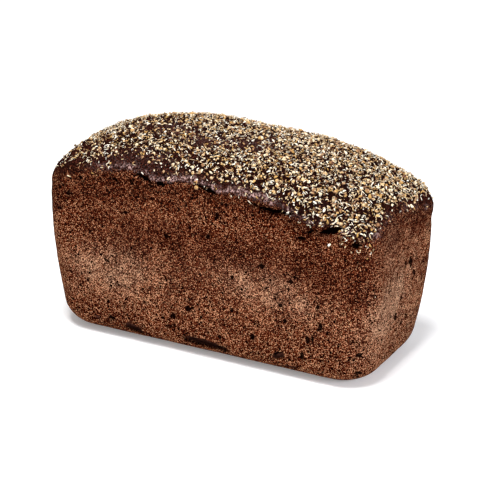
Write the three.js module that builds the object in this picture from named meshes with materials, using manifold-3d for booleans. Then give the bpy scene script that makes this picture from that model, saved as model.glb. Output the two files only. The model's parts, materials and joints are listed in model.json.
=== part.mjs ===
// Tin loaf: one baked piece, modelled in millimetres.
// Z is up and the base rests on z = 0. X runs along the length, and the long face with the
// deepest tears looks towards -Y.
import * as THREE from "three";
import { mergeVertices } from "three/addons/utils/BufferGeometryUtils.js";
import Module from "manifold-3d";

// Overall form.
const HALF_LENGTH = 105; // at the crown edge
const HALF_WIDTH = 45.7;
const BASE_HALF_LENGTH = 99.8; // the tin narrows towards its floor
const BASE_HALF_WIDTH = 40.3;
const SHOULDER = 92.3; // height of the crust edge at the four corners
const ARCH_ALONG = 23; // rise of the crown towards the middle of the length
const ARCH_ACROSS = 10.5; // further rise towards the middle of the width
const ARCH_ALONG_POWER = 2.8;
const ARCH_ACROSS_POWER = 3.3;
const CROWN_EDGE_RADIUS = 7.4;
const CORNER_RADIUS = 14; // upright corners at the top of the wall
const BASE_CORNER_RADIUS = 23; // the same corners at the base
const BASE_ROUND = 14.7; // rounding between wall and floor
const WALL_BULGE = 2.3; // the walls swell a little between base and crown
const LEAN = 2.1; // the base sits this far towards -X
const TILT = 1.1; // the +X end sank this much lower, the -X end this much higher

// Crust lip: a thin roll that stands proud of the wall over a shallow crease.
const LIP = 0.8;
const LIP_SPREAD = 4;
const CREASE = 0.6;
const CREASE_DROP = 7;
const CREASE_SPREAD = 3;

// Places where a wall has sunk: face, centre along the face, centre height, reach, depth.
const SUNKEN = [
  { face: "front", along: -57, up: 62, reachAlong: 30, reachUp: 17, depth: 2.0 },
  { face: "front", along: 52, up: 66, reachAlong: 34, reachUp: 17, depth: 2.4 },
  { face: "back", along: -20, up: 60, reachAlong: 52, reachUp: 20, depth: 2.2 },
  { face: "right", along: -6, up: 62, reachAlong: 22, reachUp: 18, depth: 1.8 },
  { face: "left", along: 4, up: 58, reachAlong: 22, reachUp: 20, depth: 1.6 },
];

// Tears under the lip and blown hollows at the base edge of the -Y face. Each is an oval
// pocket: centre, half sizes, and its turn in the plane of the face in degrees.
const TEARS = [
  { at: [1, -46, 107.6], half: [9, 3.2, 1.0], turn: -8 },
  { at: [46, -46, 102.6], half: [12, 3.5, 1.1], turn: 5 },
  { at: [78, -46.5, 97], half: [8.5, 5, 1.7], turn: 18 },
  { at: [94, -45, 91.4], half: [4, 3.5, 0.9], turn: 0 },
];
const HOLLOWS = [
  { at: [-49.5, -40.5, 9.2], half: [6.2, 6, 2.6], turn: -12 },
  { at: [-1, -40.5, 10.2], half: [14.5, 6.5, 2.1], turn: -6 },
  { at: [45.5, -41.5, 13], half: [4.2, 4, 2.0], turn: 14 },
];

const CORNER_STEPS = 6;
const LONG_STEPS = 22;
const SHORT_STEPS = 10;

const smooth = (value, reach) => Math.exp(-((value / reach) ** 2));
const mix = (from, to, part) => from + (to - from) * part;

// Height of the crown's crest line over a point, before the edge is rounded off.
function crest(x, y) {
  const u = Math.min(Math.abs(x) / HALF_LENGTH, 1);
  const v = Math.min(Math.abs(y) / HALF_WIDTH, 1);
  return SHOULDER + ARCH_ALONG * (1 - u ** ARCH_ALONG_POWER)
    + ARCH_ACROSS * (1 - v ** ARCH_ACROSS_POWER);
}

// Points round a rounded rectangle, anticlockwise, always the same number of them.
function outline(halfLength, halfWidth, radius) {
  const points = [];
  const inX = halfLength - radius;
  const inY = halfWidth - radius;
  const corners = [[1, -1, -90], [1, 1, 0], [-1, 1, 90], [-1, -1, 180]];
  corners.forEach(([sx, sy, start], index) => {
    for (let k = 0; k <= CORNER_STEPS; k += 1) {
      const angle = THREE.MathUtils.degToRad(start + (90 * k) / CORNER_STEPS);
      const nx = Math.cos(angle);
      const ny = Math.sin(angle);
      points.push({ x: sx * inX + radius * nx, y: sy * inY + radius * ny, nx, ny });
    }
    const steps = index % 2 === 0 ? SHORT_STEPS : LONG_STEPS;
    const next = corners[(index + 1) % 4];
    const last = points[points.length - 1];
    const to = { x: next[0] * inX + radius * last.nx, y: next[1] * inY + radius * last.ny };
    for (let k = 1; k < steps; k += 1) {
      points.push({
        x: mix(last.x, to.x, k / steps), y: mix(last.y, to.y, k / steps), nx: last.nx, ny: last.ny,
      });
    }
  });
  return points;
}

// How far a wall point stands in (+) from the plain tapered wall.
function inset(x, y, z, nx, ny) {
  let depth = 0;
  for (const dent of SUNKEN) {
    const along = dent.face === "front" || dent.face === "back" ? x : y;
    const facing = { front: -ny, back: ny, right: nx, left: -nx }[dent.face];
    if (facing > 0) {
      depth += dent.depth * facing ** 2 * smooth(along - dent.along, dent.reachAlong)
        * smooth(z - dent.up, dent.reachUp);
    }
  }
  return depth;
}

function wallPoint(index, z, under) {
  const part = Math.min(z / (SHOULDER - CROWN_EDGE_RADIUS / 2), 1);
  const swell = WALL_BULGE * 4 * part * (1 - part);
  let halfLength = mix(BASE_HALF_LENGTH, HALF_LENGTH, part) + swell;
  let halfWidth = mix(BASE_HALF_WIDTH, HALF_WIDTH, part) + swell;
  let radius = mix(BASE_CORNER_RADIUS, CORNER_RADIUS, part);
  if (z < BASE_ROUND) {
    const round = BASE_ROUND - Math.sqrt(BASE_ROUND ** 2 - (BASE_ROUND - z) ** 2);
    halfLength -= round;
    halfWidth -= round;
    radius = Math.max(radius - round, 3);
  }
  const point = outline(halfLength, halfWidth, radius)[index];
  const out = LIP * smooth(under, LIP_SPREAD) - CREASE * smooth(under - CREASE_DROP, CREASE_SPREAD)
    - inset(point.x, point.y, z, point.nx, point.ny);
  return [point.x + point.nx * out, point.y + point.ny * out, z];
}

// All points lean and tilt together; the floor stays flat.
function settle([x, y, z]) {
  const part = Math.min(z / SHOULDER, 1);
  return [x + LEAN * (part - 1), y, z - (TILT * part * x) / HALF_LENGTH];
}

function loafRings() {
  const top = outline(HALF_LENGTH, HALF_WIDTH, CORNER_RADIUS);
  const rings = [];
  const floorSteps = 6;
  for (let k = 0; k <= floorSteps; k += 1) {
    const z = BASE_ROUND * (1 - Math.cos((k / floorSteps) * (Math.PI / 2)));
    rings.push(top.map((point, index) => wallPoint(index, z, 100)));
  }
  // The wall climbs to the start of the crown edge, with closer rows near the lip.
  const rows = [0.12, 0.24, 0.36, 0.48, 0.6, 0.72, 0.82, 0.9, 0.94, 0.965, 0.985, 1];
  for (const row of rows) {
    rings.push(top.map((point, index) => {
      const end = crest(point.x, point.y) - CROWN_EDGE_RADIUS;
      const z = mix(BASE_ROUND, end, row);
      return wallPoint(index, z, end - z);
    }));
  }
  // The crown edge turns over a quarter round.
  for (const turn of [22.5, 45, 67.5, 90]) {
    const angle = THREE.MathUtils.degToRad(turn);
    const back = CROWN_EDGE_RADIUS * (1 - Math.cos(angle));
    const edge = outline(HALF_LENGTH - back, HALF_WIDTH - back, CORNER_RADIUS - back);
    const proud = LIP * Math.cos(angle);
    rings.push(edge.map((point) => [
      point.x + point.nx * proud, point.y + point.ny * proud,
      crest(point.x, point.y) - CROWN_EDGE_RADIUS * (1 - Math.sin(angle)),
    ]));
  }
  // The rest of the crown closes towards the middle.
  const rim = outline(HALF_LENGTH - CROWN_EDGE_RADIUS, HALF_WIDTH - CROWN_EDGE_RADIUS,
    CORNER_RADIUS - CROWN_EDGE_RADIUS);
  for (const scale of [0.93, 0.84, 0.73, 0.6, 0.45, 0.3, 0.15]) {
    rings.push(rim.map((point) => {
      const x = point.x * scale;
      const y = point.y * scale;
      return [x, y, crest(x, y)];
    }));
  }
  return rings.map((ring) => ring.map(settle));
}

function closedSolid(rings) {
  const count = rings[0].length;
  const vertices = [...rings.flat(), settle([0, 0, 0]), settle([0, 0, crest(0, 0)])];
  const floor = vertices.length - 2;
  const peak = vertices.length - 1;
  const faces = [];
  rings.forEach((ring, row) => {
    for (let k = 0; k < count; k += 1) {
      const a = row * count + k;
      const b = row * count + ((k + 1) % count);
      if (row === 0) faces.push(floor, b, a);
      if (row + 1 < rings.length) {
        faces.push(a, b, b + count, a, b + count, a + count);
      } else {
        faces.push(a, b, peak);
      }
    }
  });
  const geometry = new THREE.BufferGeometry();
  geometry.setAttribute("position", new THREE.Float32BufferAttribute(vertices.flat(), 3));
  geometry.setIndex(faces);
  return geometry;
}

function pocket({ at, half, turn }) {
  const shape = new THREE.SphereGeometry(1, 14, 10);
  shape.scale(...half);
  shape.rotateY(THREE.MathUtils.degToRad(-turn));
  shape.translate(...at);
  return shape;
}

const wasm = await Module();
wasm.setup();

function toManifold(geometry) {
  const bare = geometry.clone();
  bare.deleteAttribute("normal");
  bare.deleteAttribute("uv");
  const merged = mergeVertices(bare, 1e-4);
  return new wasm.Manifold(new wasm.Mesh({
    numProp: 3,
    vertProperties: new Float32Array(merged.attributes.position.array),
    triVerts: new Uint32Array(merged.index.array),
  }));
}

function toGeometry(solid) {
  const mesh = solid.getMesh();
  const geometry = new THREE.BufferGeometry();
  geometry.setAttribute("position", new THREE.BufferAttribute(mesh.vertProperties, 3));
  geometry.setIndex(new THREE.BufferAttribute(mesh.triVerts, 1));
  geometry.computeVertexNormals();
  return geometry;
}

let solid = toManifold(closedSolid(loafRings()));
for (const cut of [...TEARS, ...HOLLOWS]) {
  solid = solid.subtract(toManifold(pocket(cut)));
}
const geometry = toGeometry(solid);
geometry.computeBoundingBox();
const middle = geometry.boundingBox.getCenter(new THREE.Vector3());
geometry.translate(-middle.x, -middle.y, -geometry.boundingBox.min.z);

const crust = new THREE.MeshStandardMaterial({ color: 0x6a3b26, roughness: 0.85, metalness: 0 });
const loaf = new THREE.Mesh(geometry, crust);
loaf.name = "loaf";

const part = new THREE.Group();
part.name = "tin_loaf";
part.add(loaf);

export default part;
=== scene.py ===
"""A dark rye tin loaf with a crown of crushed coriander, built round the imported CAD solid."""

import json
import math

import bpy
import numpy as np
from mathutils import Matrix, Vector, kdtree

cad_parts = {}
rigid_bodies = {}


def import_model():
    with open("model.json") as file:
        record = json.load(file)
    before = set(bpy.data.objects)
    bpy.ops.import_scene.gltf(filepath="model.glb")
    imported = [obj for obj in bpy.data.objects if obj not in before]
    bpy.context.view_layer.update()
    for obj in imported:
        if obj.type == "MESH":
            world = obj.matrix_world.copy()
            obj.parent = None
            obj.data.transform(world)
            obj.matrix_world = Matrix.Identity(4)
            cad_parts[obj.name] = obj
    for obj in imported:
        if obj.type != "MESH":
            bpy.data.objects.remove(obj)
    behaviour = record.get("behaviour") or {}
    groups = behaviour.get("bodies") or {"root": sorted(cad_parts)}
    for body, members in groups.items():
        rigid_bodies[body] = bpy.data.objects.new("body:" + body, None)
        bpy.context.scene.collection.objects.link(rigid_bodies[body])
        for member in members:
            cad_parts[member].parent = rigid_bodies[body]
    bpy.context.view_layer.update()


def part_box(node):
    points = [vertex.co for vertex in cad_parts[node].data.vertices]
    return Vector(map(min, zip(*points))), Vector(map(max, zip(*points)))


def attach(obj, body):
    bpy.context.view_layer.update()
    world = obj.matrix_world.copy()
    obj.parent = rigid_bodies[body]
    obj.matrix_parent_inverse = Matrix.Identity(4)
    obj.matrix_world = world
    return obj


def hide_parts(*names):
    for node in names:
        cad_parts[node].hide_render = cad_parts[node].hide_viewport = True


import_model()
LOAF_LOW, LOAF_HIGH = (np.array(corner, float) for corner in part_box("loaf"))

bl_info = {
    "name": "Coriander Rye Tin Loaf",
    "version": (1, 0, 0),
    "blender": (4, 5, 0),
    "location": "View3D > Sidebar > Tin Loaf",
    "description": "Builds a tin-baked rye loaf, its coriander topping and a plain stage",
    "category": "Object",
}

MM = 0.001
PER_CM2 = 10000.0
HUSK = "coriander husk"

# Cells of the body's grid: along a long side, along a short side, and in each half corner.
LONG_CELLS = 225
SHORT_CELLS = 86
CORNER_CELLS = 15
# Rows of cells: round the base edge, up the wall, in the lip band, and over the crown edge.
BASE_ROWS = 20
WALL_ROWS = 62
LIP_ROWS = 26
EDGE_ROWS = 12
# Points in a ring.
AROUND = 2 * (LONG_CELLS + SHORT_CELLS)

# The crust edge, in millimetres: the band of close rows, the reach of the lip, and how far below
# the lip its crease lies, how far that reaches, and its depth.
LIP_BAND = 18.0
LIP_REACH = 4.2
CREASE_DROP = 6.0
CREASE_REACH = 2.6
CREASE_DEPTH = 0.8

# Lumps all over, on the walls only and on the crown only, in millimetres: size across, height.
BROAD_LUMPS = ((34, 0.55), (13, 0.22))
WALL_LUMPS = ((3.1, 0.10), (1.9, 0.10))
CROWN_LUMPS = ((9, 0.35), (4.2, 0.18))

# Sizes of the patterns in the finishes, in metres.
GRAIN = 0.46 * MM
SHADING = 22 * MM
CROWN_EDGE = 1.5 * MM
HOLLOW_EDGE = 1.2 * MM
BLISTER = 2.4 * MM
SPECKLE = 1.1 * MM
HUSK_FLECK = 0.7 * MM
HUSK_STAIN = 3 * MM

# The lamps and the point they face, in metres.
OVERHEAD_LAMP = (0.05, -0.35, 1.15)
SIDE_LAMP = (1.1, -0.35, 0.55)
LAMP_AIM = (0, 0, 0.06)
LAMP_SIZE = 0.5

# Places where a wall has sunk, in millimetres from the middle of the base:
# face, centre along it, centre height, reach along, reach up, depth.
SUNKEN = (
    ("front", -57, 62, 30, 17, 2.0),
    ("front", 52, 66, 34, 17, 2.4),
    ("back", -20, 60, 52, 20, 2.2),
    ("right", -6, 62, 22, 18, 1.8),
    ("left", 4, 58, 22, 20, 1.6),
)

# How far the crust edge wanders above its even line, in millimetres: place along the side, rise.
EDGE_WANDER = {
    "front": ((-105, 5.0), (-84, 4.7), (-66, 3.5), (-50, 3.4), (-37, 1.1), (-29, -2.0), (-20, 0.6),
              (-8, 1.5), (11, 0.4), (30, 2.2), (48, 1.5), (61, -1.2), (73, 1.5), (91, 4.0),
              (105, 3.5)),
    "right": ((-46, 3.0), (-34, 4.6), (-20, 6.2), (-6, 5.0), (10, 2.0), (21, -1.5), (46, -3)),
    "back": ((-105, 2.0), (-40, -1.0), (30, 1.5), (105, -3.0)),
    "left": ((-46, 4.8), (0, 2.0), (46, 2.0)),
}

# How far inside the even line of the crust edge the topping thickens, in millimetres.
TOPPING_EDGE = {
    "front": ((-105, 12), (-91, 11.5), (-75, 7.5), (-61, 8), (-50, 10), (-36, 8.5), (-21, 6),
              (-8, 5), (2, 3.5), (26, 4.5), (51, 4), (60, 2), (85, 1.5), (105, 4)),
    "right": ((-46, 3), (-35, 7), (-17, 11), (-6, 10), (11, 5.5), (46, 5.5)),
    "back": ((-105, 10), (-30, 6), (40, 8), (105, 6)),
    "left": ((-46, 11), (0, 9), (46, 9)),
}

# Broad rises and dips of the crown: place (x, y), reaches, rise.
SWELLS = (
    (-5, 8, 62, 60, -1.2),
    (-74, 14, 20, 34, -0.6),
    (60, -10, 30, 26, 0.4),
)

# Places where the topping lies thin: place (x, y), reaches, amount.
THIN_PATCHES = (
    (-41, -4, 12, 9, 0.60),
    (-18, -15, 13, 8, 0.65),
    (-42, -40, 22, 6, 0.60),
    (12, -8, 18, 10, 0.5),
    (22, 6, 30, 20, 0.15),
    (-62, 6, 14, 16, 0.25),
)

# Tears on the long front face: points (x, z) along the tear, half width, depth.
TEARS = (
    (((-42, 108), (-36, 106.5), (-32, 104.6)), 1.2, 3.0),
    (((-29, 105.4), (-24.5, 104.8)), 1.4, 3.0),
    (((-3.5, 108.2), (1, 107.2), (7.5, 106.2)), 1.4, 3.6),
    (((30, 105.0), (36, 102.6), (43, 101.9), (50, 102.2), (56, 103.0)), 1.3, 4.2),
    (((43, 102.0), (42, 98.6), (40, 95.6)), 0.7, 2.4),
    (((71.5, 93.8), (75, 95.2), (79, 96.8), (84, 99.0)), 2.1, 6.0),
    (((66.5, 98), (67.6, 95.2), (64.6, 92.4)), 0.9, 2.4),
    (((90, 90.6), (93, 91.0), (96, 91.6)), 1.4, 3.6),
    (((-52, 83.6), (-48, 83.2)), 0.9, 1.8),
    (((-66.5, 51.5), (-62, 49)), 0.6, 1.4),
    (((-81, 99.5), (-78.5, 98.6)), 1.0, 2.0),
    (((-58, 103), (-55, 101.4)), 0.9, 1.8),
    (((-47.5, 103.6), (-45.5, 101)), 1.2, 2.4),
    (((61, 89.4), (63.5, 89.4)), 1.2, 2.2),
)

# Slits on the +X end face: points (y, z) along the slit, half width, depth.
END_SLITS = (
    (((8.5, 67.5), (9, 61)), 1.3, 2.4),
    (((13.5, 58.5), (13, 52)), 0.9, 2.0),
    (((2, 66), (2.5, 63)), 0.9, 1.8),
    (((-9, 39.5), (-8, 33.5)), 1.2, 2.4),
    (((1.5, 31), (1, 27)), 0.8, 1.8),
    (((7.5, 32), (7, 29)), 0.8, 1.8),
    (((11.5, 24.5), (11, 20)), 1.0, 2.0),
)

# Larger open pores of the front face: centre (x, z), half width, half height.
PITS = (
    (-21, 24, 1.0, 1.0), (-11, 31, 1.1, 1.1), (-28, 21, 0.8, 0.8), (-63, 13, 1.4, 0.8),
    (-40, 29, 0.7, 0.7), (3, 79, 0.9, 0.9), (-24, 74, 0.8, 0.8), (18, 57, 0.7, 0.9),
    (36, 67, 1.0, 1.0), (54, 61, 0.9, 0.9), (73, 38, 0.8, 1.6), (65, 28, 0.8, 1.6),
    (68, 30, 0.7, 0.9), (77, 35, 0.8, 0.9), (61, 17, 0.8, 1.7), (30, 22, 1.0, 1.3),
    (51, 37, 0.8, 0.9), (48, 46, 0.8, 0.8), (94, 23, 0.9, 1.0), (92, 10, 1.1, 1.1),
    (60, 89, 1.0, 0.9), (-75, 67, 0.7, 0.7),
)

# Blown hollows low on the front face: centre (x, z), half sizes, turn in degrees, depth.
HOLLOWS = (
    (-49.6, 9.5, 6.2, 2.8, -14, 5.5),
    (-1.6, 10.4, 14.5, 2.3, -6, 6.5),
    (45.4, 14, 4.4, 2.0, 24, 4.0),
    (51.9, 6.4, 4.0, 1.2, 0, 2.2),
    (-73.1, 12, 1.6, 1.0, -20, 1.6),
)

# How each kind of topping bit lies: its least and greatest scale, how far it tips, how high it
# stands, and its tone from dark (0) to pale (1). The order picks each kind's seed.
LIE = ("Smallest", "Largest", "Tilt", "Lift", "Darkest", "Palest")
BIT_LIE = {
    "shells": dict(zip(LIE, (0.55, 1.28, 1.0, 0.6 * MM, 0.06, 0.92))),
    "curls": dict(zip(LIE, (0.62, 1.22, 1.2, 0.7 * MM, 0.18, 1.0))),
    "kernels": dict(zip(LIE, (0.62, 1.15, 1.2, 1.1 * MM, 0.2, 0.8))),
    "splinters": dict(zip(LIE, (0.6, 1.3, 0.8, 0.7 * MM, 0.1, 0.95))),
    "crumbs": dict(zip(LIE, (0.6, 1.2, 2.0, 0.5 * MM, 0.0, 0.72))),
}

# Husk colours by tone, darkest first, and the golden stain on some husks.
HUSK_TINTS = (
    (0.0, (0.020, 0.0060, 0.0042)),
    (0.24, (0.110, 0.038, 0.022)),
    (0.48, (0.37, 0.206, 0.104)),
    (0.72, (0.72, 0.565, 0.335)),
    (1.0, (0.97, 0.91, 0.78)),
)
HUSK_GOLD = (0.62, 0.36, 0.10)


# ---------------------------------------------------------------- numeric helpers


def bell(value, reach):
    """1 at nothing, falling to about a third at reach on either side."""
    return np.exp(-((value / reach) ** 2))


def ramp(value, start, end):
    """0 at start, 1 at end, with a soft turn at both."""
    part = np.clip((value - start) / (end - start), 0.0, 1.0)
    return part * part * (3 - 2 * part)


def way_to_line(spots, line):
    """Distance of flat spots to a run of straight stretches, and how far along they fall, 0 to 1."""
    line = np.array(line, float)
    steps = np.linalg.norm(np.diff(line, axis=0), axis=1)
    done, total = 0.0, steps.sum()
    best = np.full(len(spots), np.inf)
    along = np.zeros(len(spots))
    for start, end, step in zip(line[:-1], line[1:], steps):
        part = np.clip((spots - start) @ (end - start) / step**2, 0, 1)
        away = np.linalg.norm(spots - start - part[:, None] * (end - start), axis=1)
        nearer = away < best
        best = np.where(nearer, away, best)
        along = np.where(nearer, (done + part * step) / total, along)
        done += step
    return best, along


class Lumps:
    """Smooth, seeded, three-dimensional noise between about -1 and 1."""

    def __init__(self, seed):
        rng = np.random.default_rng(seed)
        self.order = rng.permutation(256)
        arrows = rng.normal(size=(256, 3))
        self.arrows = arrows / np.linalg.norm(arrows, axis=1)[:, None]

    def __call__(self, points, size):
        scaled = points / size
        cell = np.floor(scaled).astype(int)
        inside = scaled - cell
        fade = inside**3 * (inside * (inside * 6 - 15) + 10)
        total = np.zeros(len(points))
        for corner in range(8):
            step = np.array([corner & 1, corner >> 1 & 1, corner >> 2 & 1])
            at = (cell + step) & 255
            key = self.order[at[:, 0]]
            key = self.order[(key + at[:, 1]) & 255]
            key = self.order[(key + at[:, 2]) & 255]
            weight = np.prod(np.where(step == 1, fade, 1 - fade), axis=1)
            total += weight * np.einsum("ij,ij->i", self.arrows[key], inside - step)
        return total * 1.6


# ---------------------------------------------------------------- settings


def length(name, description, default):
    return bpy.props.FloatProperty(
        name=name, description=description, default=default, min=0, subtype="DISTANCE",
        unit="LENGTH", precision=4,
    )


def colour(name, description, default):
    return bpy.props.FloatVectorProperty(
        name=name, description=description, default=default, size=3, min=0, max=1, subtype="COLOR",
    )


def number(name, description, default):
    return bpy.props.FloatProperty(name=name, description=description, default=default, min=0)


def count(name, description, default):
    return bpy.props.IntProperty(name=name, description=description, default=default, min=0)


class LoafShape(bpy.types.PropertyGroup):
    """Sizes of the baked loaf."""

    crown_length: length("Crown length", "Length at the crown edge",
                         float(LOAF_HIGH[0] - LOAF_LOW[0]) - 1.7 * MM)
    crown_width: length("Crown width", "Width at the crown edge",
                        float(LOAF_HIGH[1] - LOAF_LOW[1]) - 1.6 * MM)
    shoulder: length("Shoulder", "Height of the crust edge at the corners", 92.3 * MM)
    arch_along: length("Arch along", "Rise of the crown towards mid length", 23 * MM)
    arch_across: length("Arch across", "Rise of the crown towards mid width", 10.5 * MM)
    end_draw: length("End taper", "How far each end wall leans in at the base", 5.2 * MM)
    side_draw: length("Side taper", "How far each side wall leans in at the base", 5.4 * MM)
    base_round: length("Base rounding", "Radius between wall and floor", 14.7 * MM)
    edge_round: length("Crown edge rounding", "Radius where wall turns to crown", 7.4 * MM)
    lip: length("Lip", "How far the crust edge stands proud", 0.9 * MM)
    pores: count("Pores", "Open pores pressed into the walls", 420)
    seed: count("Seed", "Picks the lumps and pores", 7)


class CrustFinish(bpy.types.PropertyGroup):
    """Colours of the crust."""

    wall: colour("Wall", "Red-brown tin-baked crust", (0.126, 0.0205, 0.0072))
    grain: colour("Grain", "Lighter grain in the wall", (0.345, 0.078, 0.026))
    grit: colour("Grit", "Palest grit in the wall", (0.93, 0.50, 0.265))
    # Near-black dark crumb with painted shade, for pores, tears, hollows and under the topping.
    pore_shade: colour("Pore", "Open pores, tears and hollows", (0.0040, 0.0011, 0.0008))
    cavity: colour("Cavity", "Smooth skin inside the blown hollows", (0.20, 0.074, 0.052))
    # Pale crust with painted light: the lit lower sides of the sunken places and the lit +X end.
    pale_and_lit: colour("Bloom", "Paler rubbed patches of the wall", (0.74, 0.475, 0.300))
    glaze: colour("Glaze", "Dark glazed crown", (0.0062, 0.0018, 0.0013))
    glaze_grain: colour("Glaze grain", "Brown grain in the glaze", (0.115, 0.0270, 0.0150))
    # Painted highlight: the greyed sheen of the glaze where the lip stands proud.
    glaze_highlight: colour("Glaze bloom", "Greyed high spots of the glaze", (0.60, 0.375, 0.345))


class Topping(bpy.types.PropertyGroup):
    """Crushed coriander on the crown."""

    shells: number("Shells", "Curved husk flakes per square centimetre where it is thickest", 10.0)
    curls: number("Curls", "Ring and crescent bits per square centimetre", 18.5)
    kernels: number("Kernels", "Round seed halves per square centimetre", 3.0)
    splinters: number("Splinters", "Thin sticks per square centimetre", 13.5)
    crumbs: number("Crumbs", "Ground bits per square centimetre", 12)
    seed: count("Seed", "Picks where the bits fall", 11)


class StageSettings(bpy.types.PropertyGroup):
    """Camera, floor and light."""

    azimuth: bpy.props.FloatProperty(
        name="Azimuth", description="Camera turn round the loaf", default=math.radians(27.76),
        subtype="ANGLE")
    elevation: bpy.props.FloatProperty(
        name="Elevation", description="Camera angle above the floor",
        default=math.radians(23.02), subtype="ANGLE")
    distance: length("Distance", "Camera distance from the aim point", 1.3)
    lens: number("Lens", "Focal length in millimetres on a 36 mm sensor", 168.0)
    floor_size: length("Floor size", "Side of the square floor", 6.0)
    floor_tint: colour("Floor", "Colour of the floor", (0.93, 0.93, 0.93))
    floor_glow: number("Floor glow", "How strongly the white table is lit from within", 0.22)
    sky: number("Sky", "Strength of the even light from all round", 0.38)
    top_light: number("Top light", "Power in watts of the wide light overhead", 18.5)
    side_light: number("Side light", "Power in watts of the light from the right", 7.7)
    side_tint: colour("Side tint", "Colour of the light from the right", (0.90, 0.915, 1.0))


# ---------------------------------------------------------------- form of the loaf


def ring_template():
    """The points of every ring, from the -X -Y corner anticlockwise.

    slide places a point on the straight sides and normal is its outward direction, so a ring
    is slide * (half size - radius) + normal * radius.
    """
    slide, normal = [], []
    for nx, ny, steps in ((0, -1, LONG_CELLS), (1, 0, SHORT_CELLS), (0, 1, LONG_CELLS),
                          (-1, 0, SHORT_CELLS)):
        face, out = math.atan2(ny, nx), np.array([nx, ny], float)
        along = np.array([-ny, nx], float)
        for k in range(steps):
            if k < CORNER_CELLS:
                angle = face - math.pi / 4 * (1 - k / CORNER_CELLS)
                slide.append(out - along)
            elif k > steps - CORNER_CELLS:
                angle = face + math.pi / 4 * (1 - (steps - k) / CORNER_CELLS)
                slide.append(out + along)
            else:
                angle = face
                part = (k - CORNER_CELLS) / (steps - 2 * CORNER_CELLS)
                slide.append(out + along * (2 * part - 1))
            normal.append((math.cos(angle), math.sin(angle)))
    return np.array(slide), np.array(normal)


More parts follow.
